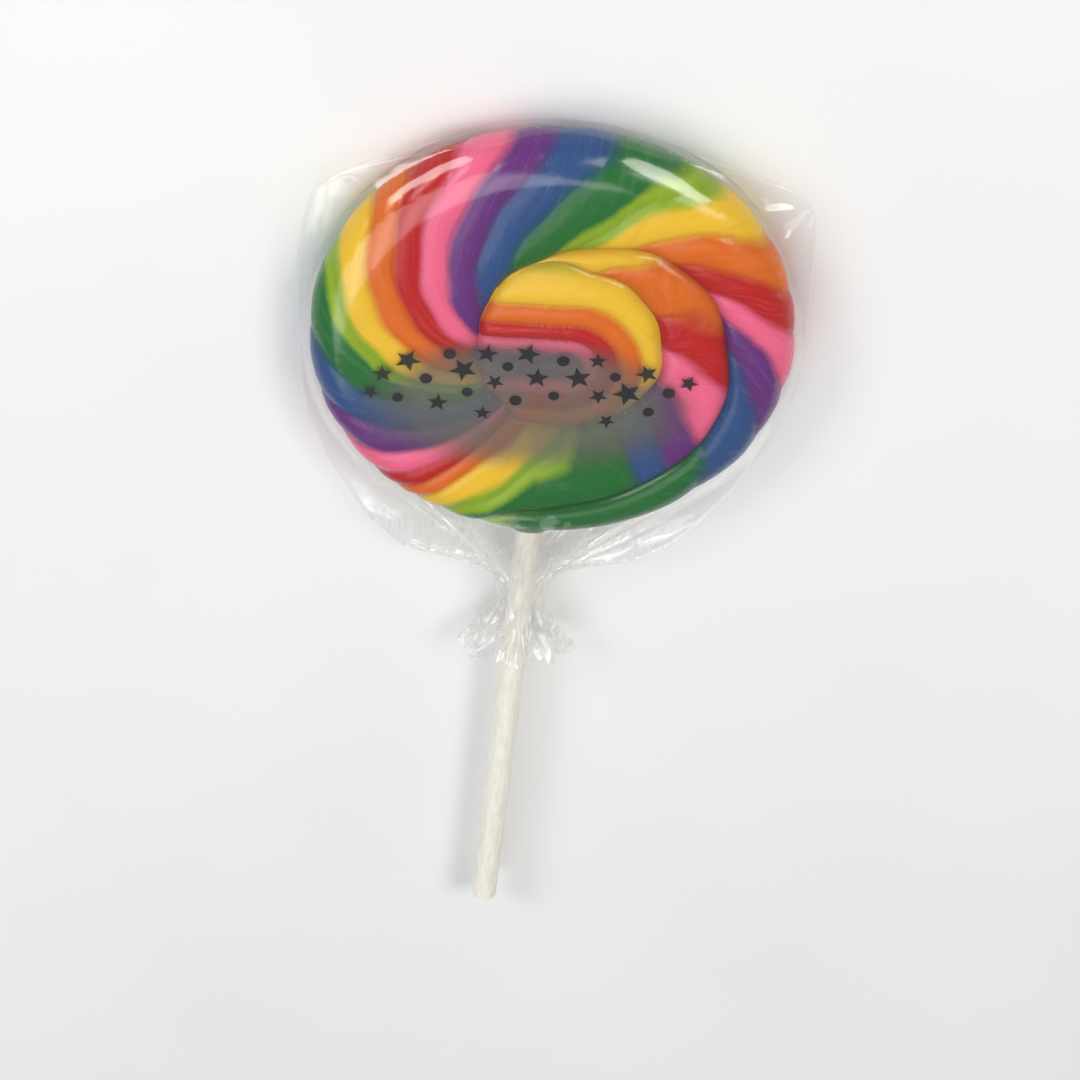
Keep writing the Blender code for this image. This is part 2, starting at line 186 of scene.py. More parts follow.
# Depth of those in tight film, how much it is lifted, and how wide a crease of the crush is
TIGHT_RAY = 0.30 * MM
TIGHT_CRUSH = 0.14 * MM
TIGHT_LIFT = 0.06 * MM
CRUSH_WIDTH = 16 * MM

# The two corners that creases fan out from, as shares of the disc's radius
CORNER_X, CORNER_Y = 0.99, 0.72

# Free film beside the disc droops towards the floor by this much, but not below this place, where the
# stick holds it up
DROOP, DROOP_REACH = 1.0 * MM, 7 * MM
DROOP_Y, DROOP_BLEND = -38 * MM, 10 * MM

# Heights of the film's lowest places, how softly it settles on them, and the floor
FILM_LOWEST = -0.10 * MM
SETTLING = 0.08 * MM
FLOOR = -0.16 * MM


def smooth_step(share):
    """From 0 to 1 with level ends: three times the share squared less twice its cube."""
    share = np.clip(share, 0.0, 1.0)
    return share * share * (3.0 - 2.0 * share)


def lattice_noise(x, y, seed):
    """Smooth noise from 0 to 1: random values on a lattice of unit cells, blended across each cell."""
    cells = 64
    values = np.random.default_rng(seed).random((cells, cells))
    column = np.floor(x).astype(int)
    row = np.floor(y).astype(int)
    across = smooth_step(x - column)
    along = smooth_step(y - row)
    left, right = column % cells, (column + 1) % cells
    low, high = row % cells, (row + 1) % cells
    near = values[low, left] * (1 - across) + values[low, right] * across
    far = values[high, left] * (1 - across) + values[high, right] * across
    return near * (1 - along) + far * along


def crinkle(x, y, seed, octaves):
    """Creased noise round 0: octaves of noise, each folded at its middle, so that it has sharp lines."""
    total = np.zeros(np.broadcast(x, y).shape)
    weight = 1.0
    for octave in range(octaves):
        scale = 1.9 ** octave
        turn = 0.7 + 1.3 * octave
        u = (x * math.cos(turn) - y * math.sin(turn)) * scale
        v = (x * math.sin(turn) + y * math.cos(turn)) * scale
        total = total + weight * (np.abs(2 * lattice_noise(u + 31, v + 17, seed + octave) - 1) - 0.33)
        weight *= 0.55
    return total


def grid_mesh(name, points, around=False, maps=None, flip=False):
    """An object from a grid of points (rows, columns, 3), joined round its columns where asked.

    maps holds UV maps by name, each a grid (rows, columns, 2) like the points.
    """
    rows, columns = points.shape[:2]
    index = np.arange(rows * columns).reshape(rows, columns)
    if around:
        index = np.concatenate([index, index[:, :1]], axis=1)
    corners = (index[:-1, :-1], index[1:, :-1], index[1:, 1:], index[:-1, 1:])
    quads = np.stack(corners, axis=-1).reshape(-1, 4)
    if flip:
        quads = quads[:, ::-1]
    mesh = bpy.data.meshes.new(name)
    mesh.vertices.add(rows * columns)
    mesh.vertices.foreach_set("co", points.reshape(-1).astype(np.float32))
    mesh.loops.add(quads.size)
    mesh.loops.foreach_set("vertex_index", quads.reshape(-1).astype(np.int32))
    mesh.polygons.add(len(quads))
    mesh.polygons.foreach_set("loop_start", np.arange(0, quads.size, 4, dtype=np.int32))
    mesh.update(calc_edges=True)
    for map_name, values in (maps or {}).items():
        layer = mesh.uv_layers.new(name=map_name)
        at_corners = values.reshape(-1, 2)[quads.reshape(-1)]
        layer.data.foreach_set("uv", at_corners.reshape(-1).astype(np.float32))
    mesh.validate()
    obj = bpy.data.objects.new(name, mesh)
    bpy.context.scene.collection.objects.link(obj)
    return obj


def weld(obj, distance=0.002 * MM):
    """Closes seams and poles: points that lie together become one, and faces with no area go."""
    work = bmesh.new()
    work.from_mesh(obj.data)
    bmesh.ops.remove_doubles(work, verts=work.verts, dist=distance)
    bmesh.ops.dissolve_degenerate(work, edges=work.edges, dist=distance / 4)
    work.to_mesh(obj.data)
    work.free()
    obj.data.shade_smooth()
    return obj


def join(name, objects):
    """One object from several, in the order given."""
    work = bmesh.new()
    for obj in objects:
        work.from_mesh(obj.data)
    mesh = objects[0].data
    work.to_mesh(mesh)
    work.free()
    for obj in objects[1:]:
        bpy.data.objects.remove(obj)
    objects[0].name = name
    return objects[0]


# The sweet

def along_rope(places, degrees, blur=8):
    """A value along the rope, read between the named places and blurred over a few degrees."""
    fine = np.arange(-60, 700)
    line = np.interp(fine, *np.array(places, dtype=float).T)
    window = np.hanning(2 * blur + 3)
    line = np.convolve(np.pad(line, blur + 1, mode="edge"), window / window.sum(), mode="valid")
    return np.interp(degrees, fine, line)


def wobble(degrees):
    """The slow unevenness of the rope's edge, as a share of the disc's radius."""
    turned = np.radians(degrees)
    return 0.006 * np.sin(5.0 * turned) + 0.004 * np.sin(11.0 * turned + 1.0)


def inner_share(degrees):
    """The rope's inner edge: as named, with a wobble. At its end it closes on the turn outside it."""
    share = 1.0 - (1.0 - along_rope(EDGE_PLACES, degrees)) * smooth_step(degrees / END_TURNED)
    share = share + wobble(degrees) * smooth_step((degrees - 40.0) / 40.0)
    before = along_rope(EDGE_PLACES, degrees - 360.0) + wobble(degrees - 360.0)
    closing = smooth_step((degrees - ROPE_TURNED) / TAIL_TURNED + 1.0)
    return share * (1.0 - closing) + before * closing


def outer_share(degrees):
    """The rope's outer edge: the rim for its first turn, then the inner edge of the turn before."""
    return np.where(degrees <= 360.0, 1.0, inner_share(np.maximum(degrees - 360.0, 0.0)))


def rope_stripe(degrees, across, side):
    """The stripe's number on the rope, whole in a stripe's middle.

    It runs from the inner edge's count to the outer edge's, and on the back it runs on past the rim
    with the same twist. The yellow stripe is wider than the others, and pulled sugar is uneven.
    """
    outer = along_rope(OUTER_STRIPES, degrees)
    inner = along_rope(INNER_STRIPES, degrees)
    number = -outer + side * (outer - inner) * (1.0 - across)
    turned = np.radians(degrees)
    number = number + 0.07 * np.sin(7.0 * turned + 3.0 * across)
    number = number + 0.04 * np.sin(17.0 * turned - 2.0 * across)
    return number + WIDE_YELLOW * (1.0 - np.cos(TAU * number / STRIPES))


def from_fold(x, y):
    """Distance from the core's fold, a line from the eye to the left, as a share of the disc's radius."""
    east = np.maximum(x / CANDY_RADIUS - EYE_X, 0.0)
    north = y / CANDY_RADIUS - EYE_Y + 0.10 * np.minimum(x / CANDY_RADIUS - EYE_X, 0.0) ** 2
    return np.hypot(east, north)


def pressed_face(share, angle, depth, side):
    """Points of one side of the disc, sunk by a depth along the normal of its rounded edge.

    The side is flat, then falls to the rim as a quarter of an ellipse. The depth has unevenness added,
    and near the stick the rim swells by a bell of the distance from it.
    """
    radius = CANDY_RADIUS * share
    over = np.clip((radius - FACE_RADIUS) / EDGE_REACH, 0.0, 1.0)
    rise = side * MIDDLE * np.sqrt(1.0 - over ** 2)
    out = over / EDGE_REACH
    up = rise / MIDDLE ** 2
    length = np.hypot(out, up)
    x = radius * np.cos(angle)
    y = radius * np.sin(angle)
    depth = depth + SWELL * (lattice_noise(x / SWELL_WIDTH, y / SWELL_WIDTH, 5) - 0.3)
    depth = depth + PITTING * (lattice_noise(x / PITTING_WIDTH, y / PITTING_WIDTH, 8) - 0.3)
    fade = smooth_step(((rise + MIDDLE) / CANDY_THICKNESS - FADE_LOW) / (FADE_HIGH - FADE_LOW))
    depth = np.maximum(depth, 0.0) * (BACK_RELIEF + (1.0 - BACK_RELIEF) * fade)
    radius = np.maximum(radius - depth * out / length, 0.0)
    height = MIDDLE + rise - depth * up / length
    beside = np.hypot(x, height - MIDDLE)
    collar = np.exp(-(np.maximum(beside - STICK_RADIUS, 0.0) / COLLAR_REACH) ** 2)
    radius = radius + COLLAR_RISE * collar * (y < -0.8 * CANDY_RADIUS)
    return np.stack([radius * np.cos(angle), radius * np.sin(angle), height], axis=-1)


def spread_rows(count):
    """Shares from 0 to 1 that lie closer together at both ends, as a cosine."""
    return (0.5 - 0.5 * np.cos(np.linspace(0.0, math.pi, count + 1)))[:, None]


def edge_points(degrees, side):
    """Points along the rope's inner edge, at the bottom of its seam."""
    depth = (SEAM_DEPTH + TURN_CROWN) * smooth_step(degrees / END_TURNED)
    return pressed_face(inner_share(degrees), np.radians(degrees) + ROPE_END, depth, side)


def stripe_valley(number):
    """Depth of the valley between stripes, from 0 at a stripe's middle to 1 where two stripes meet."""
    return 1.0 - np.abs(np.cos(math.pi * number)) ** 0.55


def rope_face(side):
    """One side of the rope as a grid on the rope itself.

    Columns run along it by the angle it has turned, rows across it from its inner edge to its outer
    one. The stripes meet in shallow valleys, each turn has a crown, and it sinks to a seam beside the
    turns next to it.
    """
    degrees = np.arange(0.0, ROPE_TURNED + 0.5, 360.0 / COLUMNS)[None, :]
    across = spread_rows(ROPE_ROWS[side])
    low = inner_share(degrees)
    high = outer_share(degrees)
    share = low + (high - low) * across
    number = rope_stripe(degrees, across, side)
    inner_on = smooth_step(degrees / END_TURNED)
    outer_on = smooth_step((degrees - 360.0) / END_TURNED)
    seam = np.maximum(
        inner_on * np.exp(-(share - low) * CANDY_RADIUS / SEAM_WIDTH),
        outer_on * np.exp(-(high - share) * CANDY_RADIUS / SEAM_WIDTH),
    )
    fallen = (1.0 - 4.0 * across * (1.0 - across)) ** 2 * np.where(across < 0.5, inner_on, outer_on)
    wide = np.where(degrees > 360.0, smooth_step((high - low) * CANDY_RADIUS / FULL_CROWN_WIDTH), 1.0)
    fallen = 1.0 - (1.0 - fallen) * wide
    depth = STRIPE_DEPTH * stripe_valley(number) * (1.0 - seam) + TURN_CROWN * fallen + SEAM_DEPTH * seam
    points = pressed_face(share, np.radians(degrees) + ROPE_END, depth, side)
    points[0] = edge_points(degrees[0], side)
    points[:, 0] = points[0, 0]
    points[-1, COLUMNS:] = edge_points(degrees[0, COLUMNS:] - 360.0, side)
    maps = {
        "Stripe": np.stack([number / STRIPES, across + 0.0 * number], axis=-1),
        "Hollow": np.stack([seam, stripe_valley(number)], axis=-1),
    }
    return points, maps


def core_face(side):
    """One side of the core: rays from the disc's centre out to the rope's inner edge.

    Its stripes are counted by the distance from the fold, and it sinks to the fold and to the seam.
    """
    degrees = np.arange(ROPE_TURNED - 360.0, ROPE_TURNED + 0.5, 360.0 / COLUMNS)[None, :]
    outward = np.linspace(0.0, 1.0, CORE_ROWS[side] + 1)[:, None] ** 0.8
    edge = inner_share(degrees)
    share = edge * outward
    angle = np.radians(degrees) + ROPE_END
    x = CANDY_RADIUS * share * np.cos(angle)
    y = CANDY_RADIUS * share * np.sin(angle)
    away = from_fold(x, y)
    number = np.interp(away, CORE_PLACES, CORE_STRIPES)
    number = number + CORE_WAVER * (lattice_noise(x / CORE_WAVER_WIDTH, y / CORE_WAVER_WIDTH, 14) - 0.5)
    number = number + WIDE_YELLOW * (1.0 - np.cos(TAU * number / STRIPES))
    seam = np.exp(-(edge - share) * CANDY_RADIUS / SEAM_WIDTH)
    fold = np.exp(-(away * CANDY_RADIUS / FOLD_WIDTH) ** 2) * (1.0 - seam)
    middle = np.clip(away / CORE_REACH, 0.0, 1.0)
    fallen = (1.0 - 4.0 * middle * (1.0 - middle)) ** 2
    fallen = fallen * (1.0 - seam) + seam
    depth = STRIPE_DEPTH * stripe_valley(number) * (1.0 - seam) + TURN_CROWN * fallen
    points = pressed_face(share, angle, depth + SEAM_DEPTH * seam + FOLD_DEPTH * fold, side)
    points[-1] = edge_points(degrees[0], side)
    maps = {
        "Stripe": np.stack([number / STRIPES, x / (20 * MM)], axis=-1),
        "Hollow": np.stack([np.maximum(seam, 0.5 * fold), stripe_valley(number)], axis=-1),
    }
    return points, maps


def make_candy():
    """The sweet: rope and core on the shown side, then both on the back, welded to one closed surface."""
    faces = []
    for side in (1.0, -1.0):
        for name, face in (("rope", rope_face), ("core", core_face)):
            points, maps = face(side)
            faces.append(grid_mesh(name, points, maps=maps, flip=side < 0))
    return weld(join("coiled_candy", faces), 0.00003 * MM)


# The film

def smoothed(line, reach):
    """A line blurred by a bell. Past each end it goes on as its own point reflection, so its ends stay."""
    bell = np.hanning(2 * reach + 1)
    before = 2 * line[0] - line[1:reach + 1][::-1]
    after = 2 * line[-1] - line[-reach - 1:-1][::-1]
    return np.convolve(np.concatenate([before, line, after]), bell / bell.sum(), mode="valid")


def outline_width(y, table):
    """Half the film's width at a height: smooth through the outline's named points, a circle at the top."""
    angle = np.radians([entry[0] for entry in table])
    reach = CANDY_RADIUS * np.array([entry[1] for entry in table])
    high = reach * np.sin(angle)
    wide = reach * np.cos(angle)
    fine = np.linspace(high[0], high[-1], 900)
    width = smoothed(np.interp(fine[::-1], high[::-1], wide[::-1])[::-1], 20)
    top = reach[0]
    near_top = np.sqrt(np.maximum(top ** 2 - fine ** 2, 0.0))
    blend = smooth_step((top - fine) / (4 * MM))
    width = near_top * (1 - blend) + width * blend
    return np.interp(y, fine[::-1], width[::-1])


def neck_ring(y):
    """Half width, half height and pleat depth of the gathered film, smooth along the stick."""
    table = np.array(NECK_RINGS) * MM
    below = table[:, 0]
    fine = np.linspace(below[0], below[-1], 600)
    lines = [smoothed(np.interp(fine, below, column), 15) for column in table[:, 1:].T]
    return [np.interp(-y, fine, line) for line in lines]


def film_creases(x, y):
    """Creases of the film: rays to the neck, rays from the two upper corners, and a slack crush.

    Rays are creased noise of the bearing from a point, and fade with the distance from it.
    """
    from_neck = np.hypot(x, y - NECK_Y)
    bearing = np.arctan2(x, y - NECK_Y)
    rays = crinkle(bearing * 8.0, from_neck / (45 * MM), 40, 3)
    rays = rays * np.exp(-np.maximum(from_neck - 10 * MM, 0.0) / (13 * MM))
    corners = np.zeros_like(rays)
    for sign, seed in ((1.0, 60), (-1.0, 70)):
        dx = sign * x - CORNER_X * CANDY_RADIUS
        dy = y - CORNER_Y * CANDY_RADIUS
        away = np.hypot(dx, dy)
        spread = np.arctan2(dy, dx)
        fan = crinkle(spread * 3.0, away / (30 * MM), seed, 2)
        corners = corners + fan * np.exp(-away / (8 * MM))
    crush = crinkle(x / CRUSH_WIDTH, y / CRUSH_WIDTH, 90, 3)
    return rays, corners, crush


def film_sheet(x, y, edge):
    """Heights of the film's front and back over a place, where edge is the distance in from its outline.

    Half the thickness is the largest of three forms, rounded together as the fourth root of the sum
    of their fourth powers: an ellipse over the disc's round edge, two sheets pinched together beside
    it, and the funnel that narrows to the neck. Creases bend both sheets or lift the front, and the
    back is kept above its lowest place by the logarithm of one plus the exponential of its height.
    """
    radius = np.hypot(x, y)
    over = np.clip((radius - FACE_RADIUS) / (EDGE_REACH + EDGE_CLOSING), 0.0, 1.0)
    disc = (MIDDLE + FILM_GAP) * np.sqrt(1.0 - over ** 2)
    closing = np.sqrt(np.clip(edge / EDGE_CLOSING, 0.0, 1.0))
    beside = np.maximum(radius - CANDY_RADIUS, 0.0)
    pinched = (HALF_GAP + MORE_AT_DISC * np.exp(-beside / GAP_REACH)) * closing
    wide, high, _ = neck_ring(y)
    across = np.clip(np.abs(x) / wide, 0.0, 1.0)
    funnel = high * np.sqrt(1.0 - across ** 2) * smooth_step((FUNNEL_Y - y) / (6 * MM))
    sharp = 4.0
    half = (disc ** sharp + pinched ** sharp + funnel ** sharp) ** (1.0 / sharp)

    rays, corners, crush = film_creases(x, y)
    loose = smooth_step((radius - FACE_RADIUS) / (6 * MM)) * smooth_step(edge / (3 * MM) + 0.35)
    bend = (NECK_RAY * rays + CORNER_FAN * corners + LOOSE_CRUSH * crush) * loose
    slack = 0.5 - 0.5 * np.cos(3.0 * np.arctan2(y, x) + 0.8)
    lift = TIGHT_RAY * rays + TIGHT_CRUSH * crush * (0.3 + 0.7 * slack) + TIGHT_LIFT
    lift = np.maximum(lift, -0.4 * FILM_GAP)
    droop = -DROOP * smooth_step(beside / DROOP_REACH) * smooth_step((y - DROOP_Y) / DROOP_BLEND)
    front = MIDDLE + half + lift * closing + bend + droop
    back = MIDDLE - half + bend + droop
    lowest = FILM_LOWEST + 0.03 * MM * crush
    back = np.logaddexp(0.0, (back - lowest) / SETTLING) * SETTLING + lowest
    return front, np.minimum(back, front)


def soften(points, passes):
    """Rounds off the creases: each point moves to the weighted mean of itself and its grid neighbours."""
    for _ in range(passes):
        points = 0.5 * points + 0.25 * (np.roll(points, 1, axis=1) + np.roll(points, -1, axis=1))
        inside = 0.5 * points[1:-1] + 0.25 * (points[:-2] + points[2:])
        points = np.concatenate([points[:1], inside, points[-1:]])
    return points


def make_film():
    """The film as one closed sock: rows run down from the top fold to the open end, columns go round it.

    The first half of a row's columns is the front sheet from left to right and the second half the
    back sheet, both closer together at the sides, so that a row round the neck is a pleated ring.
    """
    top = OUTLINE_RIGHT[0][1] * CANDY_RADIUS
    end_y = -NECK_RINGS[-1][0] * MM
    disc_share = np.linspace(0.0, 1.0, DISC_ROWS, endpoint=False)
    disc_rows = top + (BREAK_Y - top) * (1.0 - np.cos(disc_share * math.pi / 2)) ** 0.85
    y = np.concatenate([disc_rows, np.linspace(BREAK_Y, end_y, NECK_ROWS)])[:, None]
    around = np.linspace(0.0, TAU, FILM_COLUMNS, endpoint=False)[None, :]
    turn = math.pi - around
    side_share = np.cos(turn)
    is_front = np.sin(turn) >= 0

    wide, high, fold = neck_ring(y)
    right = outline_width(y, OUTLINE_RIGHT)
    left = outline_width(y, OUTLINE_LEFT)
    gathered = smooth_step((GATHER_Y - y) / (4.5 * MM))
    half_right = right * (1 - gathered) + wide * gathered
    half_left = left * (1 - gathered) + wide * gathered
    half_width = np.where(side_share >= 0, half_right, half_left)
    x = side_share * half_width
    edge = half_width * (1.0 - np.abs(side_share))
    front, back = film_sheet(x, y + 0.0 * x, edge)
    z = np.where(is_front, front, back)

    # Round the neck the sheet is a ring of pleats, deeper towards the flared end and twisted along it
    fine_pleats = 0.25 * np.cos(21 * turn + 2.0)
    straight = 0.65 * np.cos(8 * turn + 0.4) + 0.45 * np.cos(13 * turn - 1.0)
    twisted = turn + 0.9 * (y - TWIST_Y) / (14 * MM)
    swirl = 0.65 * np.cos(8 * twisted + 0.4) + 0.45 * np.cos(13 * twisted - 1.0)
    pleats = straight * (1 - gathered) + swirl * gathered + fine_pleats
    crush = crinkle(around * 3.0, y / (9 * MM), 120, 4)
    reach = 1.0 + (fold * pleats + 0.35 * MM * crush * gathered) / high
    ring_x = wide * reach * np.cos(turn)
    ring_z = MIDDLE + high * reach * np.sin(turn)
    ring_z = np.maximum(ring_z, 0.35 * MM + 0.1 * MM * crush)
    x = x * (1 - gathered) + ring_x * gathered
    z = z * (1 - gathered) + ring_z * gathered
    ragged = 1.4 * MM * crinkle(around * 5.0, 0.0 * y, 150, 3) * smooth_step((FLARE_Y - y) / (5 * MM))
    points = np.stack([x, y + ragged + 0.0 * x, z], axis=-1)
    points[..., 2] = soften(points, 2)[..., 2]
    return weld(grid_mesh("film_wrapper", points, around=True), 0.0005 * MM)


def film_front(x, y):
    """The front sheet's height, for what is printed on it."""
    edge = np.full(np.shape(x), 20 * MM)
    return film_sheet(x, y, edge)[0]


# The stick

STICK_SIDES = 64
BODY_ROWS = 420
END_LENGTH = 0.4 * MM
END_SUNK = 0.04 * MM
ROUND_OFF = 0.22 * MM

# The rolled layers on its ends, the lap of the paper round it, and faint dents along it
LAYER, LAYER_DEPTH = 0.34 * MM, 0.035 * MM
LAP_PITCH, LAP_STEP = 17 * MM, 0.05 * MM
DENT, DENT_LENGTH = 0.03 * MM, 6 * MM


def make_stick():
    """A rolled paper rod: rings along its length, with a low helical step where the paper overlaps.

    Each end closes over a rounded shoulder to its middle, with the rolled layers as a spiral groove:
    a sine of the distance from the middle less the angle round it.
    """
    around = np.linspace(0.0, TAU, STICK_SIDES, endpoint=False)[None, :]
    shoulder = np.linspace(0.0, math.pi / 2, 7)[:, None]
    face = np.linspace(0.0, 1.0, 15)[:-1, None]
    face_radius = face * (STICK_RADIUS - ROUND_OFF)
    end_radius = np.concatenate([face_radius, STICK_RADIUS - ROUND_OFF + ROUND_OFF * np.sin(shoulder)])
    end_in = np.concatenate([0.0 * face_radius, ROUND_OFF * (1 - np.cos(shoulder))])
    layers = LAYER_DEPTH * np.sin(TAU * (end_radius / LAYER) - around)
    layers = layers * smooth_step(end_radius / (0.4 * MM)) * (end_radius < STICK_RADIUS - ROUND_OFF)
    low_y = STICK_LOW.y + end_in + layers + END_SUNK
    body_y = np.linspace(STICK_LOW.y + END_LENGTH, STICK_HIGH.y - END_LENGTH, BODY_ROWS)[:, None]
    high_y = (STICK_HIGH.y - end_in)[::-1]
    y = np.concatenate([low_y, body_y + 0.0 * around, high_y + 0.0 * around])
    radius = np.concatenate([end_radius, np.full_like(body_y, STICK_RADIUS), end_radius[::-1]])
    wrap = np.mod(body_y / LAP_PITCH + around / TAU, 1.0)
    step = LAP_STEP * (wrap - 0.5) * smooth_step((1.0 - wrap) / 0.02)
    dent = DENT * (lattice_noise(body_y / DENT_LENGTH, around * 1.5, 210) - 0.5)
    middle_rows = radius[len(end_radius):-len(end_radius)] - DENT + step + dent
    radius = np.concatenate([end_radius + 0.0 * around, middle_rows, end_radius[::-1] + 0.0 * around])
    points = np.stack([radius * np.cos(around), y, MIDDLE + radius * np.sin(around)], axis=-1)
    return weld(grid_mesh("paper_stick", points, around=True))


# The print on the film

PRINT_CENTRE_Y = -3.3 * CANDY_RADIUS
BAND_MIDDLE = 3.06 * CANDY_RADIUS
BAND_HALF = 13.5 * MM
BAND_SPREAD = math.radians(11.5)
BAND_TILT = math.radians(1.5)
FIELD_HEIGHT = 0.06 * MM
MARK_HEIGHT = 0.09 * MM

# A star's notches, as a share of its points' reach
NOTCH_REACH = 0.42

# The marks: share of the band's spread, height above its middle and size in mm, and points (0 for a dot)
MARKS = (
    (-1.03, 3.0, 1.3, 5), (-0.93, 6.0, 1.6, 5), (-0.86, 1.6, 0.8, 0), (-0.76, 8.0, 2.0, 5),
    (-0.66, 4.6, 0.9, 0), (-0.60, 0.2, 1.6, 5), (-0.50, 8.8, 0.9, 0), (-0.42, 6.0, 2.1, 5),
    (-0.40, 2.0, 0.8, 0), (-0.27, 8.8, 1.7, 5), (-0.22, 3.8, 1.4, 5), (-0.14, 6.6, 0.8, 0),
    (-0.08, 0.6, 0.9, 0), (-0.02, 9.0, 1.9, 5), (0.05, 4.8, 1.8, 5), (0.17, 1.8, 0.8, 0),
    (0.20, 8.2, 0.9, 0), (0.31, 5.4, 2.0, 5), (0.41, 8.8, 1.4, 5), (0.46, 2.6, 1.4, 5),
    (0.54, 6.4, 0.8, 0), (0.64, 3.8, 2.2, 5), (0.73, 7.8, 1.7, 5), (0.81, 1.2, 0.8, 0),
    (0.90, 5.2, 0.9, 0), (1.00, 7.6, 1.5, 5), (0.55, -1.6, 1.3, 5), (-0.30, -1.8, 1.3, 5),
)


def on_band(bearing, radius):
    """A place on the arched band, by its angle from straight up and its distance from the arch's centre."""
    return radius * np.sin(bearing - BAND_TILT), PRINT_CENTRE_Y + radius * np.cos(bearing - BAND_TILT)


def print_grid(name, x, y, height, around=False, maps=None):
    """A grid laid on the film's front sheet, a hair above it."""
    points = np.stack([x, y, film_front(x, y) + height], axis=-1)
    return grid_mesh(name, points, around=around, maps=maps, flip=True)


def print_field():
    """The band as a strip whose upper and lower edges close in towards both ends.

    Its map tells how far a place lies along and across the band, for the ink that thins to its edge.
    """
    along = np.sin(np.linspace(-math.pi / 2, math.pi / 2, 240))[None, :]
    across = np.linspace(-1.0, 1.0, 60)[:, None]
    reach = BAND_HALF * (1.0 - along ** 4) ** 0.5
    x, y = on_band(1.25 * BAND_SPREAD * along, BAND_MIDDLE + reach * across)
    place = np.stack([along + 0.0 * across, reach / BAND_HALF * across], axis=-1)
    return print_grid("print_field", x, y, FIELD_HEIGHT, maps={"Band": place})


def mark(place, above, size, count):
    """A star as rings round its middle, or a dot, each turned by its own angle.

    A star's edge is a straight line from each point to the notch beside it.
    """
    x0, y0 = on_band(place * BAND_SPREAD, BAND_MIDDLE + above * MM)
    lean = 9.0 * place + 2.0 * above
    around = np.linspace(0.0, TAU, 60, endpoint=False)[None, :]
    ring = np.linspace(0.0, 1.0, 6)[:, None]
    reach = size * MM * np.ones_like(around)
    if count:
        notch = math.pi / count
        notch_x, notch_y = NOTCH_REACH * math.cos(notch), NOTCH_REACH * math.sin(notch)
        turn = notch - np.abs(np.mod(around, 2 * notch) - notch)
        reach = reach * notch_y / (np.cos(turn) * notch_y - np.sin(turn) * (notch_x - 1.0))
    x = x0 + ring * reach * np.sin(around + lean)
    y = y0 + ring * reach * np.cos(around + lean)
    return print_grid("mark", x, y, MARK_HEIGHT, around=True)


def make_print():
    """A generic motif on the film: a thin grey field with dark stars and dots strewn on it."""
    marks = [mark(place, above, size, count) for place, above, size, count in MARKS]
    return weld(print_field()), weld(join("print_marks", marks))


# Materials

class Nodes:
    """Adds nodes to one tree. Each call but add gives the output that the next node needs."""

    def __init__(self, tree):
        self.tree = tree

    def add(self, kind, inputs=None, **settings):
        """A node with its settings. An input is linked if it is given a socket, and else set."""
        node = self.tree.nodes.new(kind)
        for key, value in settings.items():
            setattr(node, key, value)
        for key, value in (inputs or {}).items():
            if isinstance(value, bpy.types.NodeSocket):
                self.tree.links.new(value, node.inputs[key])
            else:
                node.inputs[key].default_value = value
        return node

    def math(self, operation, first, second=0.0, third=0.0, clamp=False):
        """One sum on up to three numbers, kept between 0 and 1 when clamped."""
        node = self.add("ShaderNodeMath", operation=operation, use_clamp=clamp)
        for socket, value in zip(node.inputs, (first, second, third)):
            if isinstance(value, bpy.types.NodeSocket):
                self.tree.links.new(value, socket)
            else:
                socket.default_value = value
        return node.outputs[0]

    def noise(self, vector, scale, detail, roughness, distortion=0.0):
        node = self.add("ShaderNodeTexNoise", {"Vector": vector, "Scale": scale, "Detail": detail,
                                               "Roughness": roughness, "Distortion": distortion})
        return node.outputs["Fac"]

    def ramp(self, value, stops):
        """A colour read from a row of stops, each a place from 0 to 1 and its colour."""
        node = self.add("ShaderNodeValToRGB", {"Fac": value})
        elements = node.color_ramp.elements
        while len(elements) < len(stops):
            elements.new(0.5)
        for element, (place, colour) in zip(elements, stops):
            element.position = place
            element.color = (*colour, 1.0)
        return node.outputs["Color"]

    def mix(self, share, first, second, blend="MIX"):
        """The first colour with a share of the second mixed in."""
        node = self.add("ShaderNodeMix", data_type="RGBA", blend_type=blend)
        for socket, value in ((node.inputs[0], share), (node.inputs[6], first), (node.inputs[7], second)):
            if isinstance(value, bpy.types.NodeSocket):
                self.tree.links.new(value, socket)
            elif socket.type == "RGBA":
                socket.default_value = (*value, 1.0)
            else:
                socket.default_value = value
        return node.outputs[2]

    def stretch(self, vector, scale):
        """A place with each of its three numbers multiplied by its own scale."""
        return self.add("ShaderNodeVectorMath", {0: vector, 1: scale}, operation="MULTIPLY").outputs[0]

    def bump(self, height, strength, distance):
        return self.add("ShaderNodeBump", {"Height": height, "Strength": strength,
                                           "Distance": distance}).outputs["Normal"]

    def uneven(self, place, scale, detail, roughness, least, spread):
        return self.add("ShaderNodeGroup", {
            "Place": place, "Scale": scale, "Detail": detail, "Roughness": roughness,
            "Least": least, "Spread": spread,
        }, node_tree=UNEVEN).outputs["Value"]

    def drawn_out_noise(self, place, across, along, detail):
        return self.add("ShaderNodeGroup", {
            "Place": place, "Across": across, "Along": along, "Detail": detail,
        }, node_tree=DRAWN_OUT_NOISE).outputs["Value"]


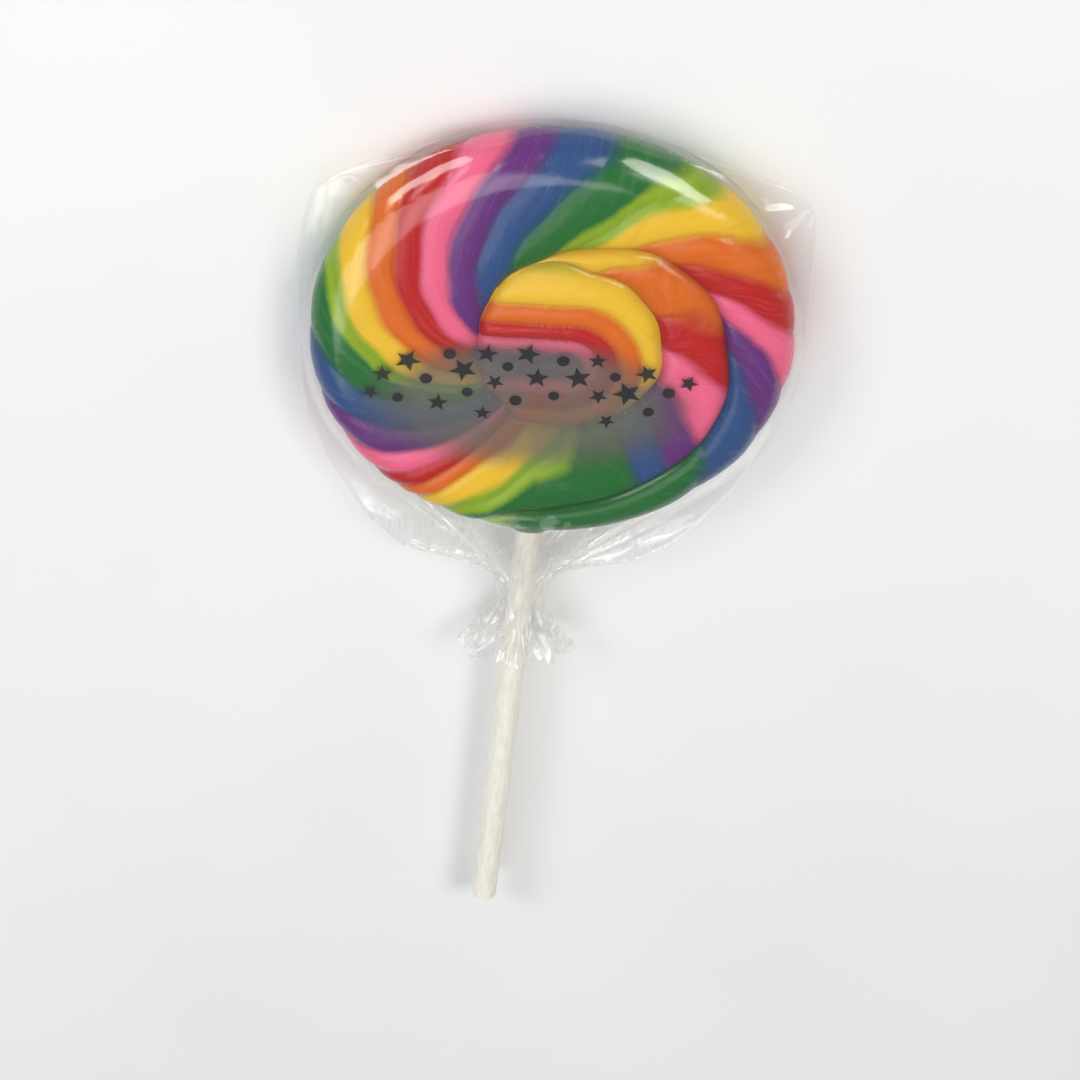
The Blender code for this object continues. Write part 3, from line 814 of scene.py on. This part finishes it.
def effect_group(name, *numbers):
    """A node group that several materials use: a place and named numbers go in, and one value comes out."""
    tree = bpy.data.node_groups.new(name, "ShaderNodeTree")
    tree.interface.new_socket(name="Place", in_out="INPUT", socket_type="NodeSocketVector")
    for number in numbers:
        tree.interface.new_socket(name=number, in_out="INPUT", socket_type="NodeSocketFloat")
    tree.interface.new_socket(name="Value", in_out="OUTPUT", socket_type="NodeSocketFloat")
    nodes = Nodes(tree)
    return nodes, nodes.add("NodeGroupInput").outputs, nodes.add("NodeGroupOutput").inputs["Value"]


def uneven_effect():
    """Cloudy unevenness: a least value, plus a spread times noise."""
    nodes, given, result = effect_group("uneven", "Scale", "Detail", "Roughness", "Least", "Spread")
    clouds = nodes.noise(given["Place"], given["Scale"], given["Detail"], given["Roughness"])
    nodes.tree.links.new(nodes.math("MULTIPLY_ADD", clouds, given["Spread"], given["Least"]), result)
    return nodes.tree


def drawn_out_noise_effect():
    """Noise drawn out along the stick, for the paper's fibres and for painted glints on the film: noise of
    a place multiplied by one count across and one along.
    """
    nodes, given, result = effect_group("drawn_out_noise", "Across", "Along", "Detail")
    counts = nodes.add("ShaderNodeCombineXYZ", {
        "X": given["Across"], "Y": given["Along"], "Z": given["Across"],
    }).outputs[0]
    grain = nodes.noise(nodes.stretch(given["Place"], counts), 1.0, given["Detail"], 0.6)
    nodes.tree.links.new(grain, result)
    return nodes.tree


UNEVEN = uneven_effect()
DRAWN_OUT_NOISE = drawn_out_noise_effect()


def new_material(name):
    """An empty material, with its nodes and its shader."""
    material = bpy.data.materials.new(name)
    material.use_nodes = True
    nodes = Nodes(material.node_tree)
    shader = material.node_tree.nodes["Principled BSDF"]
    return material, nodes, shader


def connect(nodes, shader, **inputs):
    """Links or sets the shader's inputs, named with underscores for spaces."""
    for name, value in inputs.items():
        socket = shader.inputs[name.replace("_", " ")]
        if isinstance(value, bpy.types.NodeSocket):
            nodes.tree.links.new(value, socket)
        else:
            socket.default_value = value


STRIPE_COLOURS = (
    (0.86, 0.54, 0.022),
    (0.74, 0.150, 0.004),
    (0.52, 0.006, 0.006),
    (0.88, 0.14, 0.27),
    (0.135, 0.024, 0.20),
    (0.024, 0.080, 0.24),
    (0.009, 0.155, 0.024),
)

# Where two sugars have run together: blue into green, and green into yellow
TEAL = (0.012, 0.12, 0.13)
LIME = (0.29, 0.46, 0.013)

# Half a stripe's pure colour as a share of the seven, and how far green keeps it on lime's side
PURE = 0.050
PURE_GREEN = 0.03

# Paler and darker streaks: colour and strength
PALE_STREAK, PALE_STRENGTH = (0.95, 0.86, 0.80), 0.22
DARK_STREAK, DARK_STRENGTH = (0.10, 0.03, 0.03), 0.7

# Shade in seams and valleys, and cloudy patches, as colours that the stripe is multiplied by
SHADE_TINT = (0.42, 0.30, 0.30)
SEAM_SHADE, VALLEY_SHADE = 0.50, 0.26
CLOUD_TINT = (0.85, 0.80, 0.80)


def candy_material():
    """Boiled sugar: seven stripes that run with the rope, drawn into fine streaks.

    The colour is read by the stripe's number over seven, and is darker in seams and valleys.
    """
    material, nodes, shader = new_material("boiled_sugar")
    stripe = nodes.add("ShaderNodeUVMap", uv_map="Stripe").outputs["UV"]
    place = nodes.add("ShaderNodeTexCoord").outputs["Object"]
    split = nodes.add("ShaderNodeSeparateXYZ", {"Vector": stripe})
    cycles, across = split.outputs[0], split.outputs[1]
    waver = nodes.uneven(place, scale=260.0, detail=3.0, roughness=0.5, least=-0.011, spread=0.022)
    lookup = nodes.math("FRACT", nodes.math("ADD", cycles, waver))
    stops = [(0.0, STRIPE_COLOURS[0]), (PURE, STRIPE_COLOURS[0])]
    blue, green = 5, 6
    for number in range(1, STRIPES):
        middle = number / STRIPES
        beyond = PURE_GREEN if number == green else PURE
        stops += [(middle - PURE, STRIPE_COLOURS[number]), (middle + beyond, STRIPE_COLOURS[number])]
        if number == blue:
            stops += [(middle + 0.5 / STRIPES, TEAL)]
    stops += [(0.905, LIME), (0.945, LIME), (0.972, STRIPE_COLOURS[0]), (1.0, STRIPE_COLOURS[0])]
    colour = nodes.ramp(lookup, stops)
    beside = nodes.math("MULTIPLY_ADD", cycles, 90.0, nodes.math("MULTIPLY", across, 12.0))
    streak_place = nodes.add("ShaderNodeCombineXYZ", {
        "X": beside, "Y": nodes.math("MULTIPLY", across, 2.0), "Z": 0.0,
    }).outputs[0]
    streaks = nodes.noise(streak_place, scale=1.0, detail=4.0, roughness=0.6)
    pale = nodes.math("MULTIPLY", nodes.math("SUBTRACT", streaks, 0.52, clamp=True), PALE_STRENGTH)
    colour = nodes.mix(pale, colour, PALE_STREAK)
    dark = nodes.math("MULTIPLY", nodes.math("SUBTRACT", 0.46, streaks, clamp=True), DARK_STRENGTH)
    colour = nodes.mix(dark, colour, DARK_STREAK)
    hollow = nodes.add("ShaderNodeUVMap", uv_map="Hollow").outputs["UV"]
    hollow = nodes.add("ShaderNodeSeparateXYZ", {"Vector": hollow})
    valley = nodes.math("MULTIPLY", hollow.outputs[1], VALLEY_SHADE)
    shade = nodes.math("MULTIPLY_ADD", hollow.outputs[0], SEAM_SHADE, valley)
    colour = nodes.mix(shade, colour, nodes.mix(1.0, colour, SHADE_TINT, "MULTIPLY"))
    cloud = nodes.uneven(place, scale=90.0, detail=2.0, roughness=0.5, least=0.0, spread=0.3)
    colour = nodes.mix(cloud, colour, nodes.mix(1.0, colour, CLOUD_TINT, "MULTIPLY"))
    rough = nodes.uneven(place, scale=420.0, detail=3.0, roughness=0.5, least=0.18, spread=0.16)
    pits = nodes.uneven(place, scale=700.0, detail=2.0, roughness=0.5, least=0.0, spread=1.0)
    height = nodes.math("MULTIPLY_ADD", streaks, 0.6, pits)
    normal = nodes.bump(height, strength=0.14, distance=0.2 * MM)
    connect(nodes, shader, Base_Color=colour, Roughness=rough, Normal=normal)
    shader.inputs["IOR"].default_value = 1.5
    shader.inputs["Subsurface Weight"].default_value = 0.10
    shader.inputs["Subsurface Radius"].default_value = (1.0, 0.55, 0.4)
    shader.inputs["Subsurface Scale"].default_value = 1.2 * MM
    shader.inputs["Specular IOR Level"].default_value = 0.3
    shader.inputs["Coat Weight"].default_value = 0.08
    shader.inputs["Coat Roughness"].default_value = 0.06
    return material


# The film's mirror seen straight on and how much more edge on, and its haze at most
MIRROR = 0.045
MORE_AT_SLANT = 0.9
HAZE = 0.012

# How far below the sweet's middle the gathered film starts to turn whitish, with more haze and painted
# glints, and where it is fully so
WHITISH_FROM, WHITISH_FULL = 29 * MM, 44 * MM


def film_material():
    """Clear film: a mirror as strong as a thin sheet reflects, and whitish where it is gathered.

    The mirror grows with the fourth power of the slant. A faint haze lies all over, raised a little on
    gathered film, where thin bright lines along the stick towards the neck are painted glints of its
    crinkles.
    """
    material, nodes, shader = new_material("clear_film")
    place = nodes.add("ShaderNodeTexCoord").outputs["Object"]
    down = nodes.math("MULTIPLY", nodes.add("ShaderNodeSeparateXYZ", {"Vector": place}).outputs[1], -1.0)
    gathered = nodes.add("ShaderNodeMapRange", {
        "Value": down, "From Min": WHITISH_FROM, "From Max": WHITISH_FULL, "To Min": 0.0, "To Max": 1.0,
    }, interpolation_type="SMOOTHSTEP").outputs[0]
    slant = nodes.add("ShaderNodeLayerWeight", {"Blend": 0.5}).outputs["Facing"]
    two_faces = nodes.math("MULTIPLY_ADD", nodes.math("POWER", slant, 4.0), MORE_AT_SLANT, MIRROR)
    haze = nodes.uneven(place, scale=130.0, detail=4.0, roughness=0.6, least=0.0, spread=HAZE)
    # Painted glints: thin bright lines of white film along the stick where it is gathered, standing in for
    # light caught by its crinkles
    painted_glints = nodes.drawn_out_noise(place, across=1500.0, along=160.0, detail=3.0)
    painted_glints = nodes.math("MULTIPLY", nodes.math("SUBTRACT", painted_glints, 0.42, clamp=True), 1.6)
    haze_and_painted_glints = nodes.math("MULTIPLY_ADD", nodes.math("ADD", painted_glints, 0.05), gathered, haze)
    alpha = nodes.math("ADD", two_faces, haze_and_painted_glints, clamp=True)
    fine = nodes.noise(place, scale=260.0, detail=3.0, roughness=0.55, distortion=0.3)
    metal = nodes.math("MULTIPLY_ADD", gathered, -0.5, 0.95)
    normal = nodes.bump(fine, strength=0.16, distance=0.3 * MM)
    connect(nodes, shader, Alpha=alpha, Metallic=metal, Normal=normal)
    shader.inputs["Base Color"].default_value = (0.97, 0.96, 0.93, 1.0)
    shader.inputs["Roughness"].default_value = 0.13
    return material


def stick_material():
    """Rolled white paper: faint fibres along the rod, and patches a little yellower."""
    material, nodes, shader = new_material("rolled_paper")
    place = nodes.add("ShaderNodeTexCoord").outputs["Object"]
    fibres = nodes.drawn_out_noise(place, across=1800.0, along=260.0, detail=4.0)
    patches = nodes.uneven(place, scale=110.0, detail=2.0, roughness=0.5, least=0.0, spread=0.35)
    colour = nodes.ramp(fibres, [(0.25, (0.74, 0.70, 0.60)), (0.6, (0.90, 0.87, 0.79))])
    colour = nodes.mix(patches, colour, (0.80, 0.75, 0.62))
    rough = nodes.math("MULTIPLY_ADD", fibres, 0.2, 0.45)
    normal = nodes.bump(fibres, strength=0.3, distance=0.1 * MM)
    connect(nodes, shader, Base_Color=colour, Roughness=rough, Normal=normal)
    shader.inputs["Subsurface Weight"].default_value = 0.08
    shader.inputs["Subsurface Scale"].default_value = 1 * MM
    return material


def dark_ink_material():
    """Printing ink on film, a little uneven in its cover."""
    material, nodes, shader = new_material("dark_ink")
    place = nodes.add("ShaderNodeTexCoord").outputs["Object"]
    cover = nodes.uneven(place, scale=900.0, detail=3.0, roughness=0.5, least=0.82, spread=0.2)
    connect(nodes, shader, Alpha=cover, Roughness=0.3)
    shader.inputs["Base Color"].default_value = (0.022, 0.022, 0.026, 1.0)
    return material


def grey_ink_material():
    """Thin grey ink with a cloudy cover, which fades out towards the end of the band's map."""
    material, nodes, shader = new_material("grey_ink")
    place = nodes.add("ShaderNodeTexCoord").outputs["Object"]
    band = nodes.add("ShaderNodeUVMap", uv_map="Band").outputs["UV"]
    away = nodes.add("ShaderNodeVectorMath", {0: band}, operation="LENGTH").outputs["Value"]
    fade = nodes.add("ShaderNodeMapRange", {
        "Value": away, "From Min": 1.0, "From Max": 0.55, "To Min": 0.0, "To Max": 1.0,
    }, interpolation_type="SMOOTHSTEP").outputs[0]
    cover = nodes.uneven(place, scale=240.0, detail=4.0, roughness=0.6, least=0.36, spread=0.5)
    connect(nodes, shader, Alpha=nodes.math("MULTIPLY", cover, fade), Roughness=0.35)
    shader.inputs["Base Color"].default_value = (0.17, 0.17, 0.14, 1.0)
    return material


def floor_material():
    """A matt, nearly white table with faint wide patches."""
    material, nodes, shader = new_material("pale_floor")
    place = nodes.add("ShaderNodeTexCoord").outputs["Object"]
    patches = nodes.uneven(place, scale=14.0, detail=3.0, roughness=0.5, least=0.0, spread=1.0)
    colour = nodes.ramp(patches, [(0.3, (0.83, 0.83, 0.82)), (0.7, (0.87, 0.87, 0.86))])
    connect(nodes, shader, Base_Color=colour, Roughness=0.55)
    return material


# The stage, the lights and the camera

def make_floor():
    """A level square, 3 m wide, under the part."""
    steps = np.linspace(-1.5, 1.5, 13)
    x, y = np.meshgrid(steps, steps)
    points = np.stack([x, y, np.full_like(x, FLOOR)], axis=-1)
    floor = grid_mesh("floor", points, flip=True)
    floor.data.materials.append(floor_material())


# The place that the lights face, between the sweet's middle and the neck of the film
LIT = Vector((0.0, -0.02, 0.0))


def area_light(name, place, size, power, colour):
    """A soft box of a size in metres and a power in watts."""
    light = bpy.data.lights.new(name, "AREA")
    light.shape = "RECTANGLE"
    light.size, light.size_y = size
    light.energy = power
    light.color = colour
    lamp = bpy.data.objects.new(name, light)
    lamp.location = place
    lamp.rotation_euler = (LIT - Vector(place)).to_track_quat("-Z", "Y").to_euler()
    bpy.context.scene.collection.objects.link(lamp)


def make_lights():
    """Two soft boxes that glare on the upper rim to the right and left, and a soft one above."""
    area_light("key", (0.39, 0.33, 0.58), size=(0.36, 0.28), power=2.9, colour=(1.0, 0.98, 0.94))
    area_light("side", (-0.50, 0.31, 0.40), size=(0.30, 0.22), power=1.8, colour=(0.97, 0.98, 1.0))
    area_light("top", (-0.25, -0.20, 0.75), size=(0.60, 0.60), power=2.4, colour=(0.98, 0.99, 1.0))
    world = bpy.data.worlds.new("studio")
    world.use_nodes = True
    background = world.node_tree.nodes["Background"]
    background.inputs["Color"].default_value = (0.95, 0.96, 1.0, 1.0)
    background.inputs["Strength"].default_value = 0.27
    bpy.context.scene.world = world


def make_camera():
    """Seen as in the photo: its top leans towards the camera, and its stick runs down to the lower left.

    The camera stands on the top's side and is turned half round about its line of sight, so that the
    part's +Y points up in the picture.
    """
    azimuth, elevation, distance = math.radians(5.5), math.radians(50.0), 0.50
    target = Vector((0.002, -0.039, 0.004))
    back = Vector((
        -math.sin(azimuth) * math.cos(elevation),
        math.cos(azimuth) * math.cos(elevation),
        math.sin(elevation),
    ))
    right = Vector((math.cos(azimuth), math.sin(azimuth), 0.0))
    turned = Matrix((right, back.cross(right), back)).transposed()
    data = bpy.data.cameras.new("camera")
    data.lens = 110
    data.clip_start = 0.01
    camera = bpy.data.objects.new("camera", data)
    camera.location = target + back * distance
    camera.rotation_euler = turned.to_euler()
    bpy.context.scene.collection.objects.link(camera)
    bpy.context.scene.camera = camera


def dress(piece, material, slot, *nodes):
    """Gives a piece its material and body, and hides the nodes of the CAD that it replaces. The slot is not
    used.
    """
    piece.data.materials.clear()
    piece.data.materials.append(material)
    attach(piece, "root")
    if nodes:
        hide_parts(*nodes)


make_camera()
make_lights()
make_floor()
dress(make_candy(), candy_material(), "candy", "candy")
dress(make_stick(), stick_material(), "stick", "stick")
dress(make_film(), film_material(), "film", "wrapper")
pale_print, dark_print = make_print()
dress(pale_print, grey_ink_material(), "film")
dress(dark_print, dark_ink_material(), "film")
bpy.context.scene.view_settings.view_transform = "Standard"
